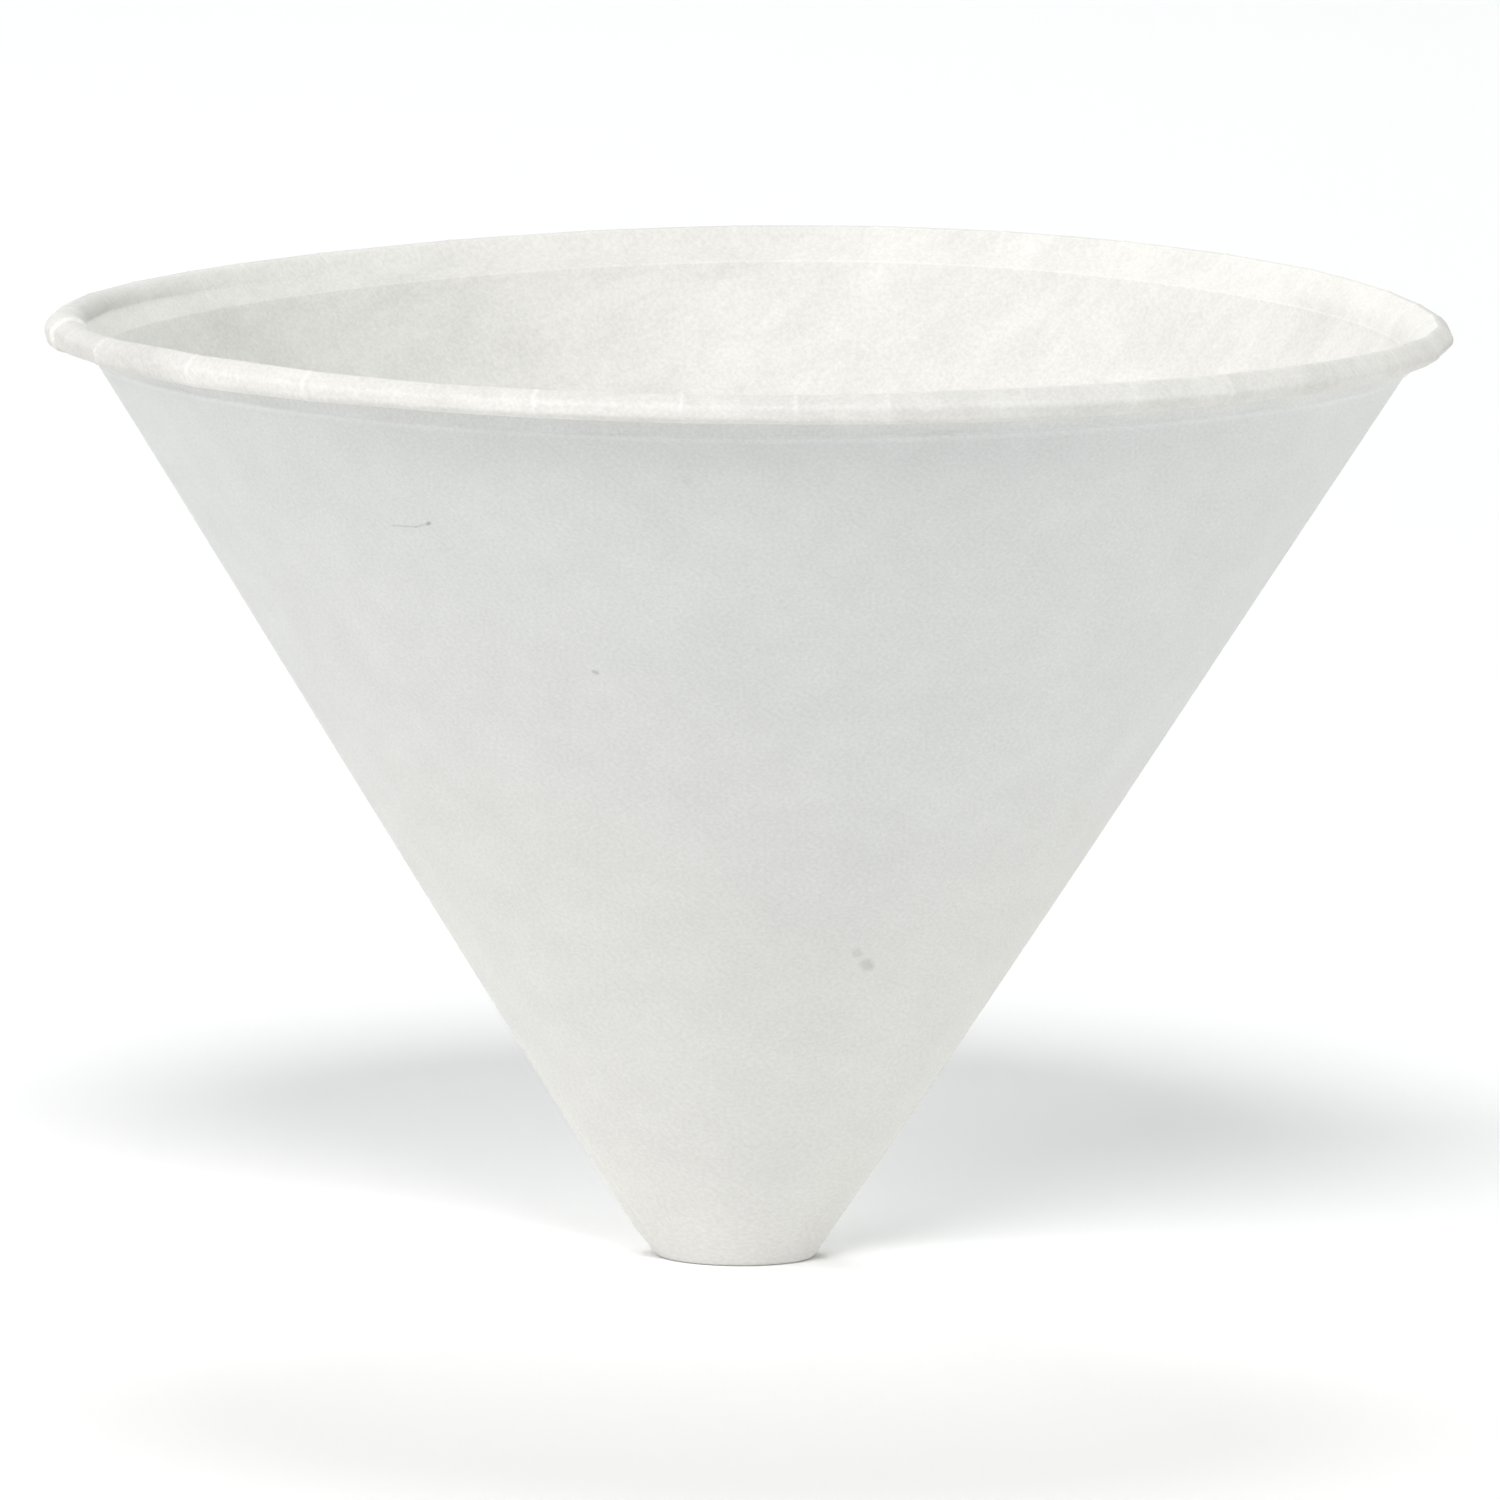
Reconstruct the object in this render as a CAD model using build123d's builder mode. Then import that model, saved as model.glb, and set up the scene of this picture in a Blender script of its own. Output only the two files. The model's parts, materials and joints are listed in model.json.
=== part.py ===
"""A funnel-shaped paper cup with a flat blunt tip, a creased brim and an outward rolled rim.

Millimetres, +Z up. The origin is the centre of the underside of the flat tip, which the cup stands on.
Angles around the cup are counted from its front, which faces -Y, towards its right-hand side, +X.
"""

from build123d import *

import os
from math import asin, atan2, cos, hypot, radians, sin, tan

# The cup
cup_height = 80.0  # to the top of the rolled rim
rim_diameter = 119.0  # outside of the rolled rim, across its crimps
base_diameter = 13.5  # where the wall would meet the flat tip without the rounding
base_rounding = 0.8
paper = 0.32  # thickness of one ply

# The brim, a narrow band that a crease turns outwards from the wall
brim_width = 3.9  # from the crease out to the outside of the rim
brim_depth = 3.4  # from the top of the rim down to the crease

# The rolled rim, where the paper goes up the inner side, over, down and back to the brim
curl_diameter = 2.8
neck_angle = 24.0  # where the brim joins the curl, below the level of the curl's middle
crimp_count = 34  # the curl is straight from one crimp to the next
hollow_sides = 6  # the curl's hollow, which nothing shows, is drawn with this many straights

# The hem, where the free edge of the curl lies flat on the outside of the brim
hem_drop = 0.3  # how far it reaches down past the crease

# The glued side seam, where one end of the blank laps over the other
lap_width = 8.3
lap_angle = -85.0

# The middle of the curl's section, at a crimp and halfway between two crimps
curl_radius = curl_diameter / 2
curl_level = cup_height - curl_radius
crimp_step = 360.0 / crimp_count
crimp_reach = rim_diameter / 2 - curl_radius
flat_reach = crimp_reach * cos(radians(crimp_step / 2))

# One straight of the hollow lies square to the neck
hollow_turn = neck_angle + 180.0 - 180.0 / hollow_sides

# The wall and the brim, on the underside of the paper
base_radius = base_diameter / 2
crease_radius = rim_diameter / 2 - brim_width
crease_level = cup_height - brim_depth
wall_slope = atan2(crease_level, crease_radius - base_radius)
wall_start = base_rounding * tan(wall_slope / 2)

# The brim runs from the crease to the middle of the curl's ply at the neck, and a little past it
neck_reach = curl_radius - paper / 2
neck_direction = radians(180.0 + neck_angle)
neck_x = (crimp_reach + flat_reach) / 2 + neck_reach * cos(neck_direction) - crease_radius
neck_z = curl_level + neck_reach * sin(neck_direction) - crease_level
neck_run = hypot(neck_x, neck_z)
brim_slope = atan2(neck_z, neck_x) - asin(paper / 2 / neck_run)
brim_length = neck_run + paper / 2
brim_end = (
    crease_radius + brim_length * cos(brim_slope),
    crease_level + brim_length * sin(brim_slope),
)
hem_start = (
    crease_radius - hem_drop * cos(brim_slope),
    crease_level - hem_drop * sin(brim_slope),
)


def around(angle, reach, height):
    """The point at an angle around the cup, a distance from its axis and a height."""
    return Vector(reach * sin(radians(angle)), -reach * cos(radians(angle)), height)


# The upright plane through the cup's axis and the middle of the seam, and the curl's middle in it
seam_outward = around(lap_angle, 1, 0)
seam_plane = Plane((0, 0, 0), x_dir=seam_outward, z_dir=seam_outward.cross(Vector(0, 0, 1)))
curl_plane = Plane(around(lap_angle, flat_reach, curl_level), x_dir=seam_outward, z_dir=seam_plane.z_dir)

# The tip, the wall and the brim, turned as one ply
with BuildPart() as shell:
    with BuildSketch(Plane.XZ):
        with BuildLine():
            FilletPolyline(
                (0, 0),
                (base_radius, 0),
                (crease_radius, crease_level),
                radius=base_rounding,
            )
            Line((crease_radius, crease_level), brim_end)
            offset(amount=paper, kind=Kind.INTERSECTION, side=Side.LEFT)
        make_face()
    revolve(axis=Axis.Z)

# The curl, carried round the crimps with a mitre at each, from the middle of one straight
crimp_angles = [lap_angle + (k + 0.5) * crimp_step for k in range(crimp_count)]
crimps = [around(angle, crimp_reach, curl_level) for angle in crimp_angles]
with BuildPart() as curl:
    with BuildLine() as curl_line:
        Polyline(curl_plane.origin, *crimps, curl_plane.origin)
    with BuildSketch(curl_plane):
        Circle(curl_radius)
        RegularPolygon(curl_radius - paper, hollow_sides, rotation=hollow_turn, mode=Mode.SUBTRACT)
    sweep(path=curl_line.line, transition=Transition.RIGHT)

# The hem, outside the brim
with BuildPart() as hem:
    with BuildSketch(Plane.XZ):
        with BuildLine():
            Line(hem_start, brim_end)
            offset(amount=paper, side=Side.RIGHT)
        make_face()
    revolve(axis=Axis.Z)

# The second ply of the seam, outside the wall and outside the hem
with BuildPart() as seam:
    with BuildSketch(seam_plane):
        with BuildLine():
            Polyline(
                (base_radius + wall_start * cos(wall_slope), wall_start * sin(wall_slope)),
                (crease_radius, crease_level),
                brim_end,
            )
            offset(amount=paper, side=Side.RIGHT)
        make_face()
        with BuildLine():
            Line(hem_start, brim_end)
            offset(amount=2 * paper, side=Side.RIGHT)
        make_face()
    revolve(axis=Axis.Z)
    with BuildSketch(seam_plane):
        Rectangle(rim_diameter, cup_height, align=(Align.MIN, Align.MIN))
    extrude(amount=lap_width / 2, both=True, mode=Mode.INTERSECT)

# The second ply of the seam, rolled round the curl
with BuildPart() as seam_curl:
    with BuildSketch(curl_plane):
        Circle(curl_radius + paper)
        Circle(curl_radius - paper / 2, mode=Mode.SUBTRACT)
    extrude(amount=lap_width / 2, both=True)

with BuildPart() as paper_cup:
    add(shell.part)
    add(curl.part)
    add(hem.part)
    add(seam.part)
    add(seam_curl.part)

paper_cup.part.label = "paper_cup"
os.makedirs("parts", exist_ok=True)
export_step(paper_cup.part, "parts/paper_cup.step")
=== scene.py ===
import json
from math import asin, atan2, cos, degrees, pi, radians, sin, sqrt, tan

import bpy
import numpy as np
from mathutils import Matrix, Vector

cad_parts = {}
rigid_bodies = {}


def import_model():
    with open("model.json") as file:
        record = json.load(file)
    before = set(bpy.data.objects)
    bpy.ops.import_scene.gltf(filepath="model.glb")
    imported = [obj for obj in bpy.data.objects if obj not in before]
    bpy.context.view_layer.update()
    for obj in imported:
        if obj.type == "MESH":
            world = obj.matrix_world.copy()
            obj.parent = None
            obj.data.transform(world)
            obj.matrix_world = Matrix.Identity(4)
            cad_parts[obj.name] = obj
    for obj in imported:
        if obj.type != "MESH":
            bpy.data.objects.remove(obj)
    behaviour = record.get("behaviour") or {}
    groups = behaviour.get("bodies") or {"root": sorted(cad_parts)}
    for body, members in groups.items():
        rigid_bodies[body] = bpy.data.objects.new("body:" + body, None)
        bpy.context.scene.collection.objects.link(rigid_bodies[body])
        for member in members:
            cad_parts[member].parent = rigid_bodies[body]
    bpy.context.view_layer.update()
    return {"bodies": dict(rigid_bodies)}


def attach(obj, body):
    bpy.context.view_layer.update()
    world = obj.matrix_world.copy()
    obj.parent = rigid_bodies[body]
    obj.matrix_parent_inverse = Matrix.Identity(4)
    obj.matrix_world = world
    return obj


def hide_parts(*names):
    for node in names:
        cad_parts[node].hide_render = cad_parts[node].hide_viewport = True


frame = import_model()
print("frame read")

mm = 0.001

# The cup's values, in millimetres and degrees. Angles go round the cup from its front, which faces
# -Y, towards +X. Angles on the roll's section go up from its outer side. Where a stretch round the
# cup has two values, they are its middle and its half width.
cup = {
    "height": 80.0,
    "rimDiameter": 119.0,
    "baseDiameter": 13.2,
    "baseRounding": 0.8,
    "paper": 0.32,
    "brimWidth": 3.9,
    "brimDepth": 3.24,
    "neckAngle": 185.0,
    # the brim's slope is worked out in rounds that start from this one
    "brimSlopeGuess": 50.0,
    "slopeRounds": 5,
    "creaseRounding": 0.4,
    "curlDiameter": 2.8,
    "neckSoft": 0.22,
    "underSoft": 0.35,
    "hemDrop": 0.3,
    "hemThinner": 0.01,
    "lapWidth": 8.3,
    "lapAngle": -86.2,
    "lapRelax": 12.0,
    "lapLift": 1.4,
    # samples on the straights of the section, as shares of each
    "floorSteps": (0, 0.35, 0.7),
    "seamSteps": (0.012, 0.03),
    "wallSteps": (
        0.08, 0.17, 0.28, 0.4, 0.52, 0.64, 0.75, 0.85, 0.93, 0.975, 0.9865, 0.989, 0.9915, 0.994,
        0.9985,
    ),
    "brimSteps": (0.07, 0.35, 0.7),
    "hemSteps": (0.35, 0.7, 0.93, 1),
    "cornerSamples": 5,
    "hemCornerSamples": 7,
    # samples on the roll: on its inner side, on its outer side and under it, and the angles where
    # the inner ones and the outer ones end
    "innerSamples": 9,
    "outerSamples": 14,
    "underSamples": 4,
    "innerAngle": 78.0,
    "outerAngle": 66.0,
    # every so many of the roll's samples have one on the hidden face
    "hiddenEach": 3,
    # columns round the cup, and more of them, in millimetres, from a crimp and from a lap's edge
    "columns": 560,
    "crimpColumns": (-0.8, -0.4, -0.2, -0.08, 0.04, 0.18, 0.35, 0.6, 1.0),
    "lapColumns": (-0.4, -0.15, -0.05, -0.012, 0.012, 0.05, 0.15, 0.4),
    "columnGap": 0.25,
    # where the rolled rim is crimped, first as seen at the front, then behind
    "crimps": (
        -75.4, -66.8, -51.2, -37.7, -25.9, -16.8, -5.1, 3.7, 10.9, 21.8, 31.5, 41.0, 53.2, 64.5,
        75.5, 86.0, 94.5, 102.6, 110.5, 124.0, 135.2, 146.5, 158.0, 169.5, 181.5, 194.0, 206.4,
        219.3, 228.7, 235.4, 244.7, 254.5, 264.5, 274.5,
    ),
    "crimpChord": 0.8,
    "crimpHeight": 0.045,
    "crimpWidth": 0.2,
    "crimpStep": 0.012,
    "crimpUneven": 0.45,
    # the dip beside each crimp: depth as a share of the crimp's, distance and width
    "crimpDip": (0.4, 0.4, 0.3),
    # a crimp's height and the strength of its painted highlight round the roll: least, what its top
    #     # adds, where that is and how wide
    "crimpPeak": (0.3, 0.7, 50.0, 55.0),
    "hemPeak": 0.4,
    # the roll's flats: angle on the section, the same on the right, distance from the roll's
    # middle, the same on the right, and how much the angle wanders from crimp to crimp
    "flats": (
        (44.0, 36.0, 1.33, 1.3, 0.6),
        (-13.0, -51.0, 1.36, 1.12, 1.0),
        (-78.0, -84.0, 1.37, 1.2, 0.0),
    ),
    "flatSharpness": 20.0,
    "flatWander": 4.0,
    "flatUneven": 0.02,
    "flatReach": 75.0,
    # where the flats turn to their right-hand values, and where they turn back
    "turn": (-5.0, 50.0),
    "turnBack": (110.0, 140.0),
    # the roll's outer corner stands out: how far, and its middle and width on the section
    "cornerSwell": (0.09, -5.0, 52.0),
    # angles between which the pressing of the roll sets in, on its inner side and under it
    "pressedInside": (100.0, 70.0),
    "pressedUnder": (-112.0, -92.0),
    # its inner side goes on from the brim up to this angle, in the quarter with this middle: it is
    # straight at first and bends from this share of the way on
    "straightEnd": 82.0,
    "quarterMiddle": 45.0,
    "bendFrom": 0.55,
    # where the roll's inner side bulges
    "bulge": (-92.0, 30.0),
    # middle, half width and depth of the stretches where the roll is pressed lower
    "squashes": ((-14.0, 24.0, 0.14), (-76.0, 14.0, 0.12), (97.0, 15.0, 0.2)),
    "squashUnder": (-122.0, -92.0),
    # the roll's end on the right is rounder, and its crimps before that are fainter
    "rounder": (95.0, 12.0),
    "rounderFlat": 1.34,
    "fainter": (70.0, 16.0),
    "faintness": 0.8,
    # on the left some crimps are bolder, and the roll has more painted shade
    "bolder": (-60.0, 12.0),
    "boldness": 1.2,
    "shadedLeft": (-65.0, 9.0),
    "seed": 11,
    # how far the rim is out of true: waves twice and three times round, tilts and shifts
    "ovalCos": 0.69,
    "ovalSin": 0.34,
    "droopCos": 0.34,
    "droopSin": -0.28,
    "thirdCos": -0.25,
    "thirdSin": 0.13,
    "coneTiltX": 0.77,
    "coneTiltY": -1.18,
    "coneShiftX": 0.31,
    "coneShiftY": 0.16,
    "rimTiltX": -0.05,
    "rimTiltY": 0.26,
    "rimShiftX": -0.12,
    "rimShiftY": 0.07,
    "untrueLevels": (0.35, 1.0),
    # slow waves in the wall: height, then for each its share, number round the cup, start and how
    # far it turns on the way up, and the levels between which they begin and end
    "wallWave": 0.12,
    "waves": ((0.5, 3, 1.1, 2.0), (0.35, 5, 0.4, -3.0), (0.25, 8, 2.2, 0.0)),
    "wavesBegin": (0.1, 0.5),
    "wavesEnd": (0.85, 1.0),
    # on the right the wall stands out further: middle and half width of that stretch, how far low
    # down and how much more at the crease, the share of it at the tip, and its levels
    "sideSwell": (88.0, 40.0, 0.38, 0.12),
    "tipShare": 0.4,
    "swellLow": (0.0, 0.25),
    "swellHigh": (0.5, 0.95),
    # it fades out from this far below the crease on, over this height, and under the roll between
    # these angles
    "swellBelow": 0.36,
    "swellFade": 1.8,
    "swellUnder": (-60.0, -105.0),
    # painted highlight lines: place up the wall, width and strength of the one below the hem, and
    #     # the width of the two at the lap's edges
    "highlightBelowHem": (0.991, 0.0022, 0.8),
    "lapLine": 0.1,
    # painted shade on the hem's face: how much of it is left out on the right
    "hemTurned": 0.85,
    # painted shade on the roll: in all, on its bulge, where it is rounder and on the left, on the
    # right
    #     # more below and less above, where it turns to painted light, and the angles between which
    #     its
    #     # face turns up
    "rollShade": 0.5,
    "bulgeShade": 1.3,
    "roundShade": 1.2,
    "leftShadeShare": 0.6,
    "turnedShade": (0.8, 1.5),
    "facingUp": (-15.0, 25.0),
    # angles past which a sample counts as the roll's inner side and as the brim, and below which it
    # counts as both, at the neck
    "innerSide": 100.0,
    "brimSide": 95.0,
    "neckSide": -150.0,
    # how far the hem's face has the outside's darker, cooler colour: painted shade
    "hemOutside": 0.7,
    # the flat blank: the sine of the cone's half angle, and a hair's turn before its first edge
    "blankTurn": 0.5388,
    "blankStart": 1e-6,
}

# stands for the angle of a sample that isn't on the roll
offRoll = 9.0


def smooth(x):
    # x held between 0 and 1, then three times its square less twice its cube
    x = np.clip(x, 0, 1)
    return x * x * (3 - 2 * x)


def ramp(x, start, end):
    # 0 before the start, 1 past the end and smooth between
    return smooth((x - start) / (end - start))


def bell(x):
    # e to the power of minus the square of x
    return np.exp(-(x**2))


def wrap(angle):
    # the same angle between -180 and 180
    return (angle + 180) % 360 - 180


def near(angle, middle, half):
    # 1 up to half of the half width from the middle, falling smoothly to 0 at one and a half
    return smooth(1.5 - np.abs(wrap(angle - middle)) / half)


def fillet(before, corner, after, radius, count):
    # Points and headings on the arc that rounds a corner. It starts before the corner by the radius
    # times the tangent of half the turn, and its headings go evenly from one straight to the other.
    before, corner, after = (np.array(p, float) for p in (before, corner, after))
    a = (corner - before) / np.hypot(*(corner - before))
    b = (after - corner) / np.hypot(*(after - corner))
    turn = atan2(a[0] * b[1] - a[1] * b[0], a @ b)
    side = 1 if turn > 0 else -1
    middle = corner - a * radius * tan(abs(turn) / 2) + side * radius * np.array([-a[1], a[0]])
    headings = atan2(a[1], a[0]) + np.linspace(0, turn, count)
    return [(middle + side * radius * np.array([sin(h), -cos(h)]), h) for h in headings]


def pulled(start, corner, end, t):
    # The quadratic curve from start to end that a corner pulls on: with s as 1 less t, s squared
    # times the start, twice s times t times the corner, and t squared times the end.
    return (1 - t) ** 2 * start + 2 * t * (1 - t) * corner + t**2 * end


def softCorner(start, corner, end, count):
    # points on that curve and their headings
    rows = []
    for t in np.linspace(0, 1, count):
        way = (1 - t) * (corner - start) + t * (end - corner)
        rows.append((pulled(start, corner, end, t), atan2(way[1], way[0])))
    return rows


def between(start, end, steps):
    # points on the straight from start to end at shares of it, with its heading
    heading = atan2(*(end - start)[::-1])
    return [(start + (end - start) * f, heading) for f in steps]


def lengths(points):
    # the way along the points up to each, as the sum of the straights between them
    return np.concatenate([[0], np.cumsum(np.hypot(*np.diff(points, axis=0).T))])


def section():
    # The section of the paper along the face that is inside the cup: from the middle of the floor
    # up the wall, over the roll and down the hem to its free edge. The other face lies one ply to
    # the right. Each sample has its point, heading and angle on the roll, and says how far it
    # follows the roll, stacks plies, is lifted by the lap and is crimped (hit). Also gives the
    # first sample of the hem.
    ply, curl = cup["paper"], cup["curlDiameter"] / 2
    baseR = cup["baseDiameter"] / 2
    crease = np.array([cup["rimDiameter"] / 2 - cup["brimWidth"], cup["height"] - cup["brimDepth"]])
    middle = np.array([cup["rimDiameter"] / 2 - curl, cup["height"] - curl])
    wallSlope = atan2(crease[1], crease[0] - baseR)
    wallAlong = np.array([cos(wallSlope), sin(wallSlope)])
    wallAcross = np.array([-sin(wallSlope), cos(wallSlope)])
    innerCorner = np.array([baseR - ply * tan(wallSlope / 2), ply])

    def onRoll(angle):
        return middle + curl * np.array([cos(angle), sin(angle)])

    # the brim runs from the crease's inner side to the neck
    neckAngle = radians(cup["neckAngle"])
    neck = onRoll(neckAngle)
    slope = radians(cup["brimSlopeGuess"])
    for _ in range(cup["slopeRounds"]):
        innerCrease = crease + wallAcross * ply - wallAlong * ply * tan((wallSlope - slope) / 2)
        slope = atan2(*(neck - innerCrease)[::-1])
    along = np.array([cos(slope), sin(slope)])
    across = np.array([-sin(slope), cos(slope)])

    rows = []

    def add(samples, follow, stack, lift, hit):
        # a pair of shares goes evenly from its first at the first sample to its second at the last
        for k, (point, heading) in enumerate(samples):
            f = k / max(len(samples) - 1, 1)
            pairs = (v if isinstance(v, tuple) else (v, v) for v in (follow, stack, lift, hit))
            shares = [first + (last - first) * f for first, last in pairs]
            away = point - middle
            angle = atan2(away[1], away[0]) if shares[2] > 0.5 else offRoll
            rows.append((*point, heading, *shares, angle))

    # the floor, its corner and the wall
    few = cup["cornerSamples"]
    floorMiddle = np.array([0, ply])
    add(between(floorMiddle, innerCorner, cup["floorSteps"]), follow=0, stack=0, lift=0, hit=0)
    corner = fillet(floorMiddle, innerCorner, innerCrease, cup["baseRounding"] - ply, few)
    add(corner, follow=0, stack=0, lift=0, hit=0)
    creaseRows = fillet(innerCorner, innerCrease, innerCrease + along, cup["creaseRounding"], few)
    wallStart, wallEnd = corner[-1][0], creaseRows[0][0]
    add(between(wallStart, wallEnd, cup["seamSteps"]), follow=0, stack=(0.3, 0.8), lift=0, hit=0)
    add(between(wallStart, wallEnd, cup["wallSteps"]), follow=0, stack=1, lift=0, hit=0)

    # the crease, the brim and the neck
    creaseFirst = len(rows)
    add(creaseRows, follow=0, stack=1, lift=0, hit=(0, 0.15))
    first = neckAngle - cup["neckSoft"] / curl
    neckStart, neckEnd = neck - along * cup["neckSoft"], onRoll(first)
    brimRows = between(creaseRows[-1][0], neckStart, cup["brimSteps"])
    add(brimRows, follow=(0.1, 0.6), stack=1, lift=0, hit=(0.2, 0.35))
    neckRows = softCorner(neckStart, neck, neckEnd, few)
    add(neckRows, follow=(0.8, 1), stack=1, lift=(0, 0.9), hit=(0.4, 0.5))

    # the roll, down to where the hem's straight meets it from below
    hemLine = crease - across * ply - along * cup["hemDrop"]
    gap = middle - hemLine
    under = hemLine + along * (gap @ along - sqrt(max(curl**2 - (gap @ across) ** 2, 0)))
    last = atan2(*(under - middle)[::-1]) + cup["underSoft"] / curl
    inner, outer = radians(cup["innerAngle"]), radians(cup["outerAngle"])
    turns = [
        np.linspace(first, inner, cup["innerSamples"])[1:],
        np.linspace(outer, -outer, cup["outerSamples"]),
        np.linspace(-inner, last, cup["underSamples"])[:-1],
    ]
    rollRows = [(onRoll(a), a - pi / 2) for a in np.concatenate(turns)]
    add(rollRows, follow=1, stack=1, lift=1, hit=1)

    # the hem
    hemFirst = len(rows)
    hemTop = under - along * cup["underSoft"]
    hemRows = softCorner(onRoll(last), under, hemTop, cup["hemCornerSamples"])
    add(hemRows, follow=(1, 0.85), stack=1, lift=(1, 0.6), hit=(0.8, 0.3))
    hemRows = between(hemTop, hemLine, cup["hemSteps"])
    add(hemRows, follow=(0.7, 0.0), stack=1, lift=0.6, hit=(0.3, 0.1))
    rows = np.array(rows)
    names = ("r", "z", "heading", "follow", "stack", "lift", "hit", "phi")
    values = {name: rows[:, k] for k, name in enumerate(names)}
    points = rows[:, :2]

    # Where the roll's inner side doesn't bulge, it goes on straight from the brim and then, on the
    # quadratic curve above, bends softly onto the top. This is how far that moves each sample.
    start = creaseFirst + len(creaseRows) - 1
    quarter = cup["quarterMiddle"]
    away = np.abs(values["phi"][start:] - radians(quarter))
    end = start + int(np.argmax(away < radians(cup["straightEnd"] - quarter)))
    length = lengths(points[start : end + 1])
    first, last = points[start], points[end]
    topWay = np.array([cos(values["heading"][end]), sin(values["heading"][end])])
    reach = np.linalg.solve(np.stack([along, topWay], axis=1), last - first)[0]
    bendStart, bendCorner = first + along * reach * cup["bendFrom"], first + along * reach
    t = (length / length[-1])[:, None]
    u = np.clip((t - cup["bendFrom"]) / (1 - cup["bendFrom"]), 0, 1)
    bent = pulled(bendStart, bendCorner, last, u)
    move = np.zeros((len(rows), 2))
    goal = np.where(u > 0, bent, first + along * reach * t)
    move[start : end + 1] = goal - points[start : end + 1]
    values["moveR"], values["moveZ"] = move.T
    values["creased"] = np.zeros(len(rows))
    values["creased"][creaseFirst : start + 1] = 1
    values["slant"] = lengths(points)
    return values, hemFirst


def columnAngles():
    # Angles of the columns, even but for groups close together at each crimp and at the lap's two
    # edges. An edge lies the arcsine of half the lap over the roll's radius from its middle, and
    # this angle is given too.
    rimR = cup["rimDiameter"] / 2
    toAngle = degrees(1 / rimR)
    half = degrees(asin(cup["lapWidth"] / 2 / (rimR - cup["curlDiameter"] / 2)))
    even = np.arange(cup["columns"]) * 360 / cup["columns"] - 180
    groups = [wrap(c) + np.array(cup["crimpColumns"]) * toAngle for c in cup["crimps"]]
    for edge in (-half, half):
        groups.append(cup["lapAngle"] + edge + np.array(cup["lapColumns"]) * toAngle)
    clear = np.ones(len(even), bool)
    for group in groups:
        clear &= ~((even > group[0] - cup["columnGap"]) & (even < group[-1] + cup["columnGap"]))
    return np.sort(np.concatenate([even[clear]] + groups)), half


def pressedRoll(angles, phi, who, fromMiddle, span, turned, rounder):
    # How far the roll is pressed in, as a share of its radius. On its section each flat cuts the
    # circle off along a line square to the flat's angle, so its distance is the flat's over the
    # cosine of the angle between. The least distance counts, softly: minus the logarithm of the sum
    # of e to the minus sharpness times distance, over the sharpness.
    sharpness, curl = cup["flatSharpness"], cup["curlDiameter"] / 2
    wander = cup["flatWander"] * (who[:, 1] + who[:, 0] * fromMiddle / span)
    swell, swellAngle, swellWidth = cup["cornerSwell"]
    corner = np.exp(-(((phi - radians(swellAngle)) / radians(swellWidth)) ** 4))
    reach = np.exp(-sharpness * (curl + swell * (1 - rounder) * corner))
    for angle, angleTurned, far, farTurned, loose in cup["flats"]:
        flatAngle = np.radians(angle + (angleTurned - angle) * turned + loose * wander)
        farHere = far + (farTurned - far) * turned + cup["flatUneven"] * who[:, 2]
        farHere = farHere + (cup["rounderFlat"] - farHere) * rounder
        away = np.minimum(np.abs(phi - flatAngle), radians(cup["flatReach"]))
        reach = reach + np.exp(-sharpness * farHere / np.cos(away))
    return 1 + np.log(reach) / sharpness / curl


def crimpFolds(angles, character):
    # Sums over the crimps of strength times the bell of distance over width: without the shallow
    #     # dip on one side, for the painted highlight on the folds, and less that dip, for their
    #     shape.
    crimpHighlight, ridge = np.zeros(len(angles)), np.zeros(len(angles))
    dipDepth, dipPlace, dipWidth = cup["crimpDip"]
    for k, c in enumerate(cup["crimps"]):
        gap = wrap(angles - c) * radians(1) * cup["rimDiameter"] / 2
        strength = 1 + cup["crimpUneven"] * character[k, 3]
        strength = strength * (1 - cup["faintness"] * near(c, *cup["fainter"]))
        strength = strength + cup["boldness"] * near(c, *cup["bolder"])
        hump = bell(gap / cup["crimpWidth"])
        crimpHighlight += strength * hump
        ridge += strength * (hump - dipDepth * bell((gap - dipPlace) / dipWidth))
    return crimpHighlight, ridge


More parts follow.
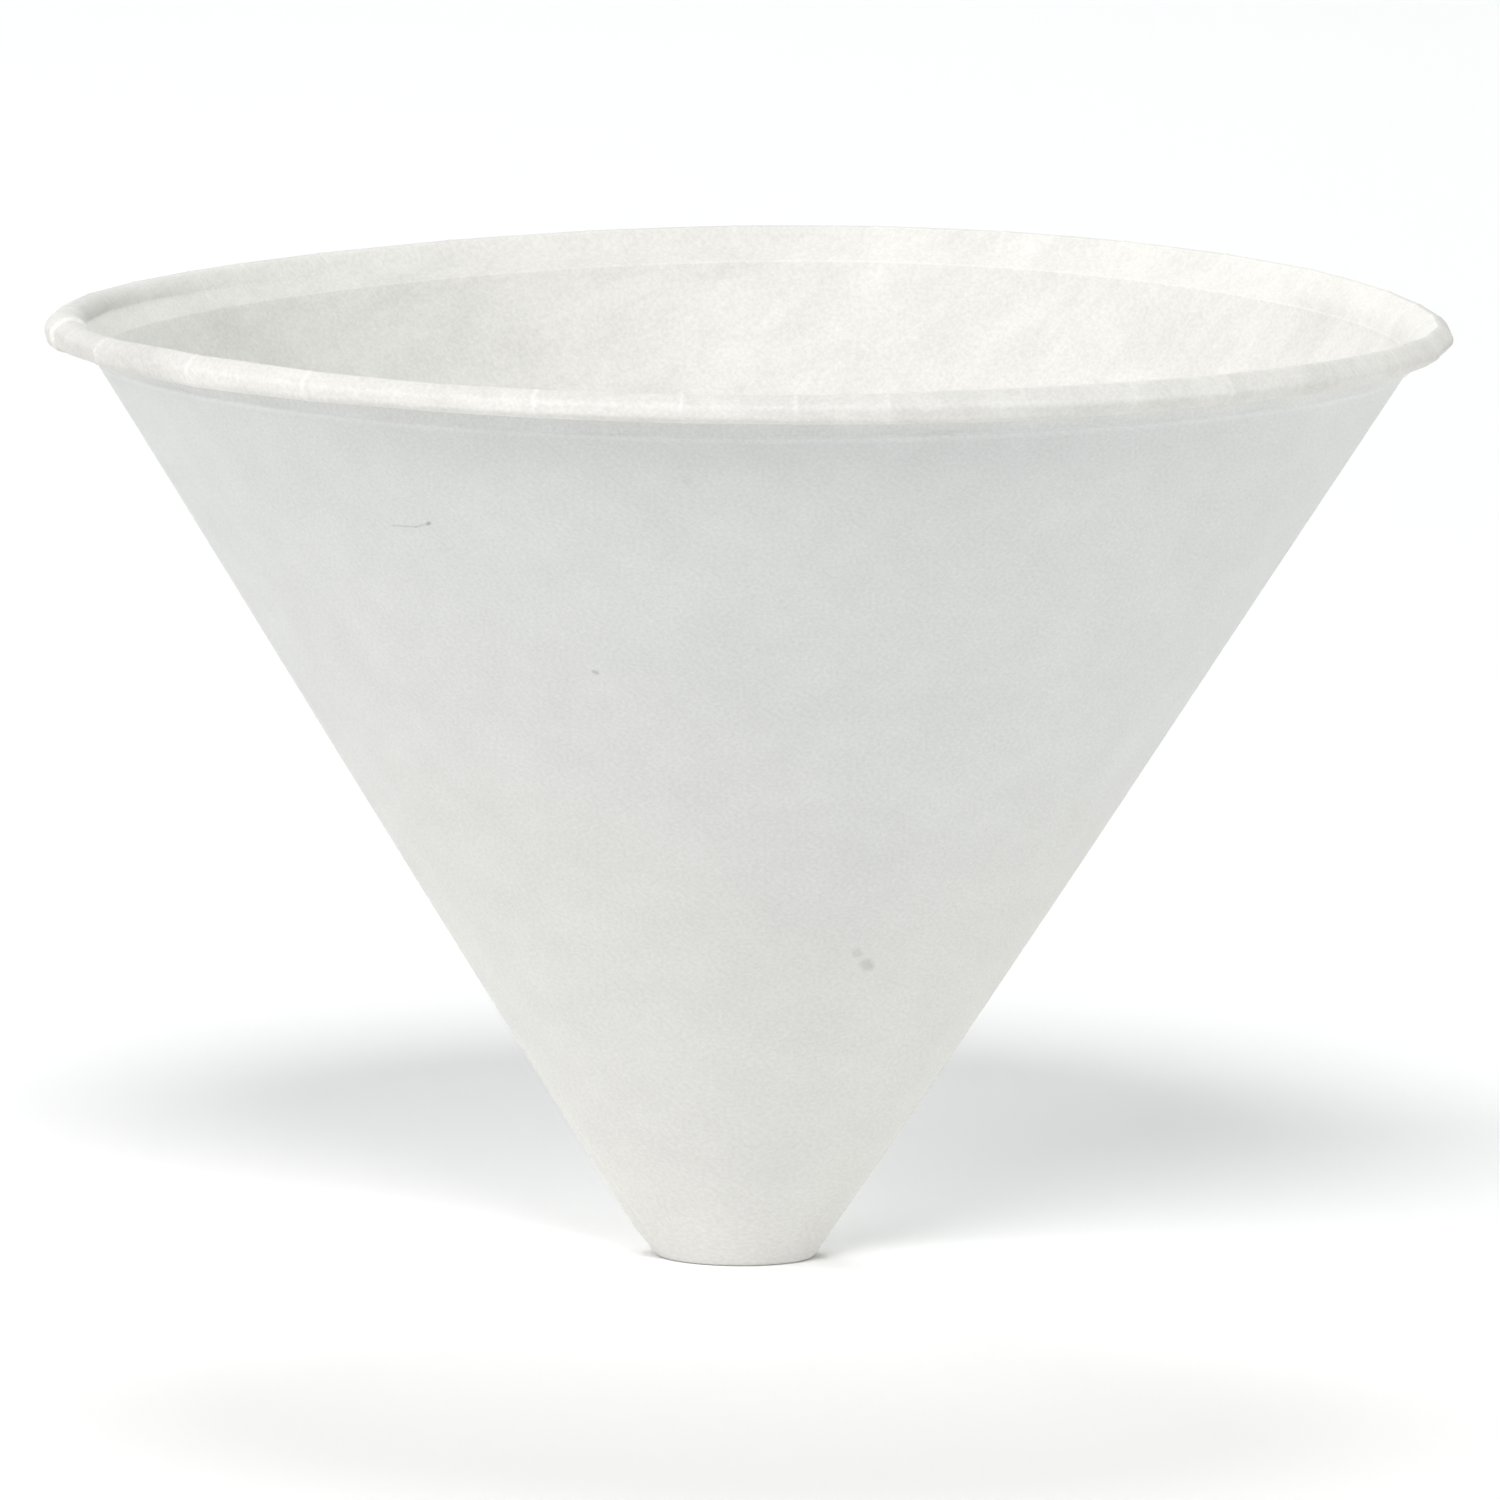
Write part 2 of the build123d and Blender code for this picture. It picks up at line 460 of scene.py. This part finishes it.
def outOfTrue(radius, height, theta, follow, phi, rolled):
    # Bends the true cup: to the radius and the height go cosines and sines of two and three times
    # the angle, slow waves and the swell on the right, and the rim is tilted and shifted.
    t = np.clip(height / cup["height"], 0, 1)
    a = np.radians(theta)
    top = ramp(t, *cup["untrueLevels"])
    rim = smooth(follow)
    radius = radius + (cup["ovalCos"] * np.cos(2 * a) + cup["ovalSin"] * np.sin(2 * a)) * top
    waves = sum(share * np.sin(n * a + start + turn * t) for share, n, start, turn in cup["waves"])
    waves = waves * ramp(t, *cup["wavesBegin"]) * (1 - ramp(t, *cup["wavesEnd"]))
    radius = radius + cup["wallWave"] * waves

    # the swell leaves out the brim, the hem and the roll
    middle, half, low, high = cup["sideSwell"]
    swell = low * (cup["tipShare"] + (1 - cup["tipShare"]) * ramp(t, *cup["swellLow"]))
    swell = swell + high * ramp(t, *cup["swellHigh"])
    fadeStart = cup["height"] - cup["brimDepth"] - cup["swellBelow"]
    wallOnly = 1 - ramp(height, fadeStart, fadeStart + cup["swellFade"])
    wallOnly = wallOnly * np.where(rolled, ramp(phi, *np.radians(cup["swellUnder"])), 1)
    radius = radius + swell * near(theta, middle, half) * wallOnly

    x = radius * np.sin(a) + cup["coneShiftX"] * top + cup["rimShiftX"] * rim
    y = -radius * np.cos(a) + cup["coneShiftY"] * top + cup["rimShiftY"] * rim
    height = height + (cup["droopCos"] * np.cos(2 * a) + cup["droopSin"] * np.sin(2 * a)) * top
    height = height + (cup["thirdCos"] * np.cos(3 * a) + cup["thirdSin"] * np.sin(3 * a)) * top
    height = height + (cup["coneTiltX"] * np.sin(a) + cup["coneTiltY"] * np.cos(a)) * top
    height = height + (cup["rimTiltX"] * np.sin(a) + cup["rimTiltY"] * np.cos(a)) * rim
    return x, y, height


def buildSurface():
    # The cup's points as a grid, with a row for each sample of the section, first on the face that
    # shows and then back on the hidden one, and a column for each angle. Each point is the
    # section's, moved along its normal by what the lap, the flats and the crimps ask for.
    values, hemFirst = section()
    count = len(values["r"])
    # the hidden face has fewer samples on the roll
    hidden = [
        k
        for k in range(count)
        if values["lift"][k] < 0.5 or k >= hemFirst - 1 or k % cup["hiddenEach"] == 0
    ]
    order = np.concatenate([np.arange(count), hidden[::-1]])
    face = np.concatenate([np.ones(count), np.zeros(len(hidden))])[:, None]
    isHem = (order >= hemFirst)[:, None]
    v = {name: value[order][:, None] for name, value in values.items()}
    r, z, phi, follow, stack = v["r"], v["z"], v["phi"], v["follow"], v["stack"]
    hasAngle = phi < offRoll
    lifted = v["lift"] > 0.5
    rolled = lifted & ~isHem
    nr, nz = -np.sin(v["heading"]), np.cos(v["heading"])
    thick = np.where(isHem, cup["paper"] - cup["hemThinner"], cup["paper"]) * (1 - face)
    r, z = np.maximum(r - nr * thick, 0), z - nz * thick
    angles, half = columnAngles()
    rimR, curl = cup["rimDiameter"] / 2, cup["curlDiameter"] / 2

    # the lap's edges keep their distance from its middle line all the way down the wall: half its
    # angle at a level is the arcsine of half its width over the radius there
    d = wrap(angles[None, :] - cup["lapAngle"])
    size = np.abs(d)
    inLap = size <= half
    level = np.maximum(r, cup["baseDiameter"] / 2)
    halfHere = np.degrees(np.arcsin(np.minimum(cup["lapWidth"] / 2 / level, 1)))
    outside = halfHere + (size - half) * (180 - halfHere) / (180 - half)
    theta = cup["lapAngle"] + np.sign(d) * np.where(inLap, size * halfHere / half, outside)
    arc = (size - half) * radians(1) * rimR  # millimetres past the lap's edge, at the rim

    # One ply under the other in the lap, and the step that this leaves at each of its edges. A known
    # fault: the hem is moved inwards here, so just past the lap it comes through the brim.
    after = (d > half).astype(float) * (1 - ramp(arc, 0, cup["lapRelax"]))
    plies = np.where(face > 0.5, after, np.where(inLap, 1.0, after))
    raised = np.where(inLap, 1.0, after) + (d < -half) * ramp(arc, cup["lapLift"], 0)
    outward = -cup["paper"] * stack * (plies - v["lift"] * raised)

    # the roll runs nearly straight from crimp to crimp: the radius times the cosine of half the
    # angle between them, over the cosine of the angle from their middle
    marks = np.sort(wrap(np.array(cup["crimps"])))
    marks = np.concatenate([[marks[-1] - 360], marks, [marks[0] + 360]])
    index = np.searchsorted(marks, angles, side="right") - 1
    before, following = marks[index], marks[index + 1]
    span = np.radians(following - before) / 2
    fromMiddle = np.radians(angles - (before + following) / 2)
    chord = (np.cos(span) / np.cos(fromMiddle) - 1) * rimR * cup["crimpChord"]
    rng = np.random.default_rng(cup["seed"])
    character = rng.uniform(-1, 1, (len(marks), 5))
    who = character[np.where(index == len(marks) - 2, 0, index)]

    # how far the flats have turned, and where the roll is rounder and bulges
    turned = ramp(wrap(angles), *cup["turn"]) * (1 - ramp(wrap(angles), *cup["turnBack"]))
    rounder = near(angles, *cup["rounder"])
    bulge = near(angles, *cup["bulge"])
    r = r + v["moveR"] * (1 - bulge)
    z = z + v["moveZ"] * (1 - bulge)
    pressed = pressedRoll(angles, phi, who, fromMiddle, span, turned, rounder)
    pressed = pressed * ramp(phi, *np.radians(cup["pressedInside"]))
    pressed = pressed * ramp(phi, *np.radians(cup["pressedUnder"]))
    outward = outward - pressed * face * hasAngle * curl

    # each crimp is a fine raised fold, strongest on the roll's upper flat
    crimpHighlight, ridge = crimpFolds(angles, character)
    least, more, peakAngle, peakWidth = cup["crimpPeak"]
    peak = least + more * bell((phi - radians(peakAngle)) / radians(peakWidth))
    peak = np.where(hasAngle, peak, cup["hemPeak"])
    step = who[:, 4] * cup["crimpStep"] * np.cos(fromMiddle / span * pi / 2) ** 0.5
    outward = outward + face * v["hit"] * (peak * ridge * cup["crimpHeight"] + step * lifted)

    # in places the roll is pressed lower: its height over its middle is less by the depth
    squash = sum(depth * near(angles, middle, wide) for middle, wide, depth in cup["squashes"])
    rollLevel = cup["height"] - curl
    z = z - (z - rollLevel) * squash * hasAngle * ramp(phi, *np.radians(cup["squashUnder"]))

    radius = r + nr * outward + follow * chord
    height = z + nz * outward
    x, y, height = outOfTrue(radius, height, theta, follow, phi, rolled)

    # painted highlight lines: the crease inside, the wall just below the hem, and the lap's two
    # edges
    linePlace, lineWidth, lineShare = cup["highlightBelowHem"]
    wallShare = v["slant"] / v["slant"][v["creased"] > 0.9].min()
    line = face * v["creased"] + (1 - face) * bell((wallShare - linePlace) / lineWidth) * lineShare
    lapEdgeHighlight = bell((size - half) / cup["lapLine"]) * (stack > 0.5)

    # painted shade on the roll, more of it where it is rounder and on the left, more below and less
    #     # above on the right, and on its inner side where that bulges
    neckSide = phi < radians(cup["neckSide"])
    innerSide = (phi > radians(cup["innerSide"])) | neckSide
    low, up = cup["turnedShade"]
    turnedShade = (low - up * ramp(phi, *np.radians(cup["facingUp"]))) * turned
    leftShade = cup["leftShadeShare"] * near(angles, *cup["shadedLeft"])
    facing = 1 + cup["roundShade"] * rounder + leftShade + turnedShade
    shade = np.where(innerSide, cup["bulgeShade"] * bulge, facing)
    # painted highlight on the brim and on the neck behind the roll
    brim = (follow > 0) * ((phi > radians(cup["brimSide"])) | (neckSide & ~isHem))
    return {
        "x": x,
        "y": y,
        "z": height,
        "theta": theta,
        "face": face,
        "isHem": isHem,
        "brim": face * brim,
        # painted highlight on the crimps
        "crimpHighlight": face * peak * v["hit"] * crimpHighlight,
        "line": line,
        "lapEdgeHighlight": lapEdgeHighlight,
        # painted shade on the hem, under the roll
        "band": face * isHem * (1 - cup["hemTurned"] * turned),
        # painted shade on the roll
        "roll": face * rolled * np.where(hasAngle, shade, 0) * cup["rollShade"],
        "slant": v["slant"],
        "faceRows": count,
    }


def cupMesh():
    # One closed mesh: quads between neighbouring rows and columns, the last column joined to the
    # first, and a fan of triangles from each end of the rows to the mean of that row.
    surface = buildSurface()
    x, z, face, slant = surface["x"], surface["z"], surface["face"], surface["slant"]
    rowsCount, columns = x.shape
    print("cup's surface worked out,", rowsCount, "rows and", columns, "columns")
    grid = np.stack([x, surface["y"], z], axis=2) * mm
    inner = grid[1:-1].reshape(-1, 3)
    vertices = np.concatenate([inner, [grid[0].mean(0)], [grid[-1].mean(0)]])
    k = np.arange(rowsCount - 3)[:, None]
    c = np.arange(columns)[None, :]
    nextC = (c + 1) % columns
    here, there = k * columns, (k + 1) * columns
    quads = np.stack([here + c, there + c, there + nextC, here + nextC], axis=2).reshape(-1, 4)
    last = (rowsCount - 3) * columns
    c, nextC = c.ravel(), nextC.ravel()
    startFan = np.stack([np.full(columns, len(inner)), c, nextC], axis=1)
    endFan = np.stack([np.full(columns, len(inner) + 1), last + nextC, last + c], axis=1)
    loops = np.concatenate([quads.ravel(), startFan.ravel(), endFan.ravel()])
    sizes = np.concatenate([np.full(len(quads), 4), np.full(2 * columns, 3)])
    starts = np.concatenate([[0], np.cumsum(sizes)[:-1]])
    mesh = bpy.data.meshes.new("cupPaper")
    mesh.vertices.add(len(vertices))
    mesh.vertices.foreach_set("co", vertices.ravel())
    mesh.loops.add(len(loops))
    mesh.loops.foreach_set("vertex_index", loops)
    mesh.polygons.add(len(sizes))
    mesh.polygons.foreach_set("loop_start", starts)
    mesh.polygons.foreach_set("loop_total", sizes)
    mesh.update(calc_edges=True)
    mesh.shade_smooth()

    def attribute(name, values):
        layer = mesh.attributes.new(name, "FLOAT", "POINT")
        full = np.broadcast_to(values, x.shape)
        flat = np.concatenate([full[1:-1].ravel(), [full[0].mean()], [full[-1].mean()]])
        layer.data.foreach_set("value", flat.astype(np.float32))

    # the hem's free edge, which gets a painted highlight
    edge = np.zeros((rowsCount, 1))
    edge[surface["faceRows"] - 1 : surface["faceRows"] + 1] = 1
    # faceSide picks the inside's painted lighter colour; on the hem it is cut down for painted shade
    attribute("faceSide", face * (1 - cup["hemOutside"] * surface["isHem"]))
    # painted highlight on the brim
    attribute("brim", surface["brim"])
    attribute("line", np.clip(surface["line"], 0, 1))
    attribute("lapEdgeHighlight", np.clip(surface["lapEdgeHighlight"], 0, 1))
    attribute("band", surface["band"])
    attribute("roll", surface["roll"])
    # the level carries the outside's painted shade, darker towards the top
    attribute("level", np.clip(z / cup["height"], 0, 1))
    attribute("rawEdgeHighlight", edge)
    # painted highlight on the crimps
    attribute("crimpHighlight", np.minimum(surface["crimpHighlight"], 1))
    # place on the flat blank: the way from the tip, at the angle times the sine of the cone's half
    # angle
    around = np.radians(surface["theta"] - cup["lapAngle"] - cup["blankStart"]) % (2 * pi)
    blankAngle = around * cup["blankTurn"]
    attribute("blankX", slant * np.cos(blankAngle) * mm)
    attribute("blankY", slant * np.sin(blankAngle) * mm)
    return mesh


def feed(tree, value, target):
    # links a socket, or sets a plain value
    if isinstance(value, Sock):
        tree.links.new(value.socket, target)
    else:
        target.default_value = value


class Sock:
    # a socket whose sums add their Math nodes
    def __init__(self, wiring, socket):
        self.wiring = wiring
        self.socket = socket

    def math(self, operation, *others):
        inputs = dict(enumerate((self, *others)))
        return self.wiring.node("ShaderNodeMath", {"operation": operation}, inputs)

    def __add__(self, other):
        return self.math("ADD", other)

    __radd__ = __add__

    def __mul__(self, other):
        return self.math("MULTIPLY", other)

    __rmul__ = __mul__

    def __sub__(self, other):
        return self.math("SUBTRACT", other)

    def __rsub__(self, other):
        return self * -1 + other

    def __pow__(self, other):
        return self.math("POWER", other)

    def smooth(self, low, high):
        settings = {"interpolation_type": "SMOOTHSTEP"}
        inputs = {"Value": self, "From Min": low, "From Max": high}
        return self.wiring.node("ShaderNodeMapRange", settings, inputs)


class Wiring:
    # a material and its nodes
    def __init__(self, name):
        self.material = bpy.data.materials.new(name)
        self.material.use_nodes = True
        self.tree = self.material.node_tree
        self.shader = self.tree.nodes["Principled BSDF"]

    def node(self, kind, settings, inputs, output=0):
        # a node of a type, with its settings, the values or links of its sockets, and one output
        node = self.tree.nodes.new(kind)
        for key, value in settings.items():
            setattr(node, key, value)
        for key, value in inputs.items():
            feed(self.tree, value, node.inputs[key])
        return Sock(self, node.outputs[output])

    def attribute(self, name):
        return self.node("ShaderNodeAttribute", {"attribute_name": name}, {}, "Fac")

    def noise(self, place, scale, detail, roughness):
        inputs = {"Vector": place, "Scale": scale, "Detail": detail, "Roughness": roughness}
        return self.node("ShaderNodeTexNoise", {}, inputs, "Fac")

    def blend(self, amount, first, second):
        # first times what is left of the amount, and second times the amount
        inputs = {"Factor": amount, 6: first, 7: second}
        return self.node("ShaderNodeMix", {"data_type": "RGBA"}, inputs, 2)

    def scaled(self, colour, amount):
        inputs = {0: colour, "Scale": amount}
        return self.node("ShaderNodeVectorMath", {"operation": "SCALE"}, inputs)

    def stroke(self, x, y, start, end, width, core):
        # 1 on the line from start to end and 0 a width away from it: the distance from the nearest
        # point on it, which is the way along it held between its ends
        start, end = Vector(start) * mm, Vector(end) * mm
        run = end - start
        length = max(run.length, 1e-6)
        wayX, wayY = run.x / length, run.y / length
        offX, offY = x - start.x, y - start.y
        along = (offX * wayX + offY * wayY).math("MAXIMUM", 0.0).math("MINIMUM", length)
        gap = ((offX - along * wayX) ** 2 + (offY - along * wayY) ** 2).math("SQRT")
        return 1 - gap.smooth(width * mm * core, width * mm)


# the paper: sizes of its clouds and grain in metres, the rest as shares
paper = {
    # painted light: the inside is lighter and warmer than the outside, though both are the same
    # paper
    "innerLitColour": (0.765, 0.761, 0.731, 1),
    # painted shade: the outside is darker and cooler at the top, under the rim, and lighter and
    # warmer at the bottom, where it is painted as lit from the floor
    "outerShadedTop": (0.643, 0.661, 0.654, 1),
    "outerLitBottom": (0.698, 0.695, 0.669, 1),
    "cloudSize": 0.0032,
    "cloudDepth": 0.125,
    "outerCloud": 0.5,
    "streakTurn": 35.0,
    "streakStretch": 0.45,
    "blotScale": 0.8,
    "broadScale": 0.3,
    "broadShare": 0.5,
    # share of the streaks and of the blots: what the inside adds, and what the outside has
    "streakShare": (0.7, 0.1),
    "blotShare": (0.5, 0.9),
    # detail and roughness of each noise
    "cloudNoise": (3.0, 0.6),
    "broadNoise": (2.0, 0.5),
    "grainNoise": (2.0, 0.7),
    "grainSize": 0.00033,
    "grainDepth": 0.15,
    # painted highlight on the crimps
    "foldLight": 0.09,
    # painted highlight on the hem's raw edge and on the lap's edges
    "edgeLight": 0.09,
    # painted highlight lines on the crease and on the wall below the hem
    "lineLight": 0.09,
    # painted shade on the hem, under the roll
    "hemShade": 0.045,
    # painted shade on the roll
    "rollShade": 0.155,
    # painted highlight on the brim
    "brimLight": 0.06,
    "roughness": 0.82,
    "specular": 0.3,
    "bumpStrength": 0.25,
    "bumpDistance": 0.00006,
    "bumpCloud": 0.6,
    # small marks on the outside: start and end on the flat blank in millimetres, width and strength
    "marks": (
        # a dark fibre with a dot at its end
        ((76.1, 38.7), (75.1, 40.8), 0.16, 0.16),
        ((75.1, 40.8), (74.9, 42.3), 0.16, 0.16),
        ((74.9, 42.1), (74.9, 42.3), 0.3, 0.25),
        # a speck, a grey smudge and a faint grey spot
        ((56.4, 43.1), (56.6, 43.0), 0.3, 0.25),
        ((21.1, 34.8), (20.8, 34.6), 0.55, 0.13),
        ((19.5, 34.2), (19.1, 34.0), 0.75, 0.17),
        ((66.8, 63.4), (66.6, 63.7), 0.4, 0.05),
    ),
    # share of a mark's width that is fully dark
    "markCore": 0.2,
}


def paperMaterial():
    # The colour is the inside's, painted lighter than the outside's, or the outside's, blended by
    # level from painted light low down to painted shade at the top, times a tone: 1 and the clouds
    # and the grain, plus the painted highlights and less the painted shade of the attributes, and
    # less each mark.
    w = Wiring("cupPaper")
    x, y, side = w.attribute("blankX"), w.attribute("blankY"), w.attribute("faceSide")
    place = w.node("ShaderNodeCombineXYZ", {}, {"X": x, "Y": y, "Z": side})
    turn, stretch = (0, 0, radians(paper["streakTurn"])), (1.0, paper["streakStretch"], 1.0)
    stretched = w.node(
        "ShaderNodeMapping", {}, {"Vector": place, "Rotation": turn, "Scale": stretch}
    )
    fine = 1 / paper["cloudSize"]
    streaks = w.noise(stretched, fine, *paper["cloudNoise"]) - 0.5
    blots = w.noise(place, paper["blotScale"] * fine, *paper["cloudNoise"]) - 0.5
    broad = w.noise(place, paper["broadScale"] * fine, *paper["broadNoise"]) - 0.5
    grain = w.noise(place, 1 / paper["grainSize"], *paper["grainNoise"]) - 0.5
    (streakIn, streakOut), (blotIn, blotOut) = paper["streakShare"], paper["blotShare"]
    clouds = streaks * (side * streakIn + streakOut) + blots * (blotOut - side * blotIn)
    depth = side * (1 - paper["outerCloud"]) + paper["outerCloud"]
    tone = (clouds + broad * paper["broadShare"]) * depth * (paper["cloudDepth"] * 2)
    tone = tone + grain * (paper["grainDepth"] * 2) + 1.0
    # the attributes' painted highlights are added and their painted shade is taken off
    parts = {
        "crimpHighlight": paper["foldLight"],
        "brim": paper["brimLight"],
        "rawEdgeHighlight": paper["edgeLight"],
        "line": paper["lineLight"],
        "lapEdgeHighlight": paper["edgeLight"],
        "band": -paper["hemShade"],
        "roll": -paper["rollShade"],
    }
    for name, amount in parts.items():
        tone = tone + w.attribute(name) * amount
    for start, end, width, strength in paper["marks"]:
        mark = w.stroke(x, y, start, end, width, paper["markCore"])
        tone = tone - mark * (1 - side) * strength
    # the outside: painted light at the bottom, blending to painted shade at the top
    outer = w.blend(w.attribute("level"), paper["outerLitBottom"], paper["outerShadedTop"])
    colour = w.scaled(w.blend(side, outer, paper["innerLitColour"]), tone)
    bump = w.node(
        "ShaderNodeBump",
        {},
        {
            "Strength": paper["bumpStrength"],
            "Distance": paper["bumpDistance"],
            "Height": grain + clouds * paper["bumpCloud"],
        },
        "Normal",
    )
    inputs = {
        "Base Color": colour,
        "Roughness": paper["roughness"],
        "Specular IOR Level": paper["specular"],
        "Normal": bump,
    }
    for key, value in inputs.items():
        feed(w.tree, value, w.shader.inputs[key])
    return w.material


mesh = cupMesh()
paperCup = bpy.data.objects.new("paperCup", mesh)
bpy.context.scene.collection.objects.link(paperCup)
mesh.materials.append(paperMaterial())
body = next(iter(frame["bodies"]))
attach(paperCup, body)
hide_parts("paper_cup")
print("cup made,", len(mesh.polygons), "faces, body", body)

# floor, camera and what the lights share, in metres and degrees
studio = {
    "floorSize": 8.0,
    "floorWide": 1.5,
    "bendRadius": 1.5,
    "bendSteps": 12,
    "floorColour": (0.94, 0.94, 0.94, 1),
    "floorRoughness": 0.9,
    "floorSpecular": 0.1,
    "floorGlow": 0.05,
    "worldStrength": 0.0,
    "lightAim": (0, 0, 0.05),
    "elevation": 7.1,
    "roll": 0.89,
    "distance": 1.505,
    "lens": 430.1,
    "sensorWidth": 36.0,
    "clipStart": 0.05,
    "clipEnd": 40.0,
    "aim": (0.00072, 0.0, 0.04287),
}

# place, size, power and colour of each soft light
lights = {
    "left": ((-2.0, -0.6, 0.9), 1.2, 16.6, (1, 0.963, 0.95)),
    "leftHigh": ((-1.4, -0.7, 1.6), 0.8, 7.3, (1, 0.989, 0.958)),
    "backLeft": ((-1.6, 1.2, 1.0), 0.8, 4.2, (0.79, 0.92, 1)),
    "right": ((2.0, -0.6, 0.9), 1.2, 3.8, (0.82, 1, 0.984)),
    "rightLow": ((1.2, -1.0, 0.15), 0.5, 2.5, (0.95, 0.96, 1)),
    "rightBack": ((1.7, 0.5, 0.15), 0.5, 7.8, (1, 0.92, 0.857)),
    "frontLeft": ((-1.0, -1.9, 0.8), 0.8, 3.5, (1, 0.94, 0.92)),
    "frontHigh": ((0.0, -1.8, 1.8), 1.0, 42.6, (1, 0.994, 0.991)),
    "backHigh": ((0.0, 1.8, 1.8), 1.0, 27.1, (0.975, 0.995, 1)),
}


def backdrop():
    # A floor that turns up into a wall far behind, as one strip: level, then on a quarter circle at
    # even angles, then upright.
    half, bend, steps = studio["floorSize"] / 2, studio["bendRadius"], studio["bendSteps"]
    profile = [(-half, 0.0)]
    for k in range(steps + 1):
        a = radians(90 * k / steps)
        profile.append((half - bend + bend * sin(a), bend * (1 - cos(a))))
    profile.append((half, half))
    side = half * studio["floorWide"]
    vertices = [(s * side, py, pz) for py, pz in profile for s in (-1, 1)]
    faces = [(2 * k, 2 * k + 1, 2 * k + 3, 2 * k + 2) for k in range(len(profile) - 1)]
    mesh = bpy.data.meshes.new("floor")
    mesh.from_pydata(vertices, [], faces)
    mesh.shade_smooth()
    floor = bpy.data.objects.new("floor", mesh)
    bpy.context.scene.collection.objects.link(floor)
    w = Wiring("floor")
    inputs = {
        "Base Color": studio["floorColour"],
        "Roughness": studio["floorRoughness"],
        "Specular IOR Level": studio["floorSpecular"],
        "Emission Color": (1, 1, 1, 1),
        "Emission Strength": studio["floorGlow"],
    }
    for key, value in inputs.items():
        feed(w.tree, value, w.shader.inputs[key])
    mesh.materials.append(w.material)


def areaLight(name, place, size, power, colour):
    # a round light that is turned so that its -Z points at the common aim
    light = bpy.data.lights.new(name, "AREA")
    light.shape = "DISK"
    light.size = size
    light.energy = power
    light.color = colour
    lamp = bpy.data.objects.new(name, light)
    lamp.location = place
    lamp.rotation_mode = "QUATERNION"
    way = Vector(studio["lightAim"]) - Vector(place)
    lamp.rotation_quaternion = way.to_track_quat("-Z", "Y")
    bpy.context.scene.collection.objects.link(lamp)


backdrop()
print("floor made")

scene = bpy.context.scene
world = bpy.data.worlds.new("world")
world.use_nodes = True
world.node_tree.nodes["Background"].inputs["Color"].default_value = (1, 1, 1, 1)
world.node_tree.nodes["Background"].inputs["Strength"].default_value = studio["worldStrength"]
scene.world = world
for name, values in lights.items():
    areaLight(name, *values)
print("lights made,", len(lights))

# the camera looks at its aim from the front, raised by the elevation and turned by the roll
camera = bpy.data.cameras.new("camera")
camera.lens = studio["lens"]
camera.sensor_width = studio["sensorWidth"]
camera.clip_start = studio["clipStart"]
camera.clip_end = studio["clipEnd"]
view = bpy.data.objects.new("camera", camera)
up = radians(studio["elevation"])
back = Vector((0, -cos(up), sin(up)))
tilt = Matrix.Rotation(radians(studio["roll"]), 4, "Z")
turn = back.to_track_quat("Z", "Y").to_matrix().to_4x4() @ tilt
view.matrix_world = Matrix.Translation(Vector(studio["aim"]) + back * studio["distance"]) @ turn
scene.collection.objects.link(view)
scene.camera = view
scene.view_settings.view_transform = "Standard"
print("camera set")
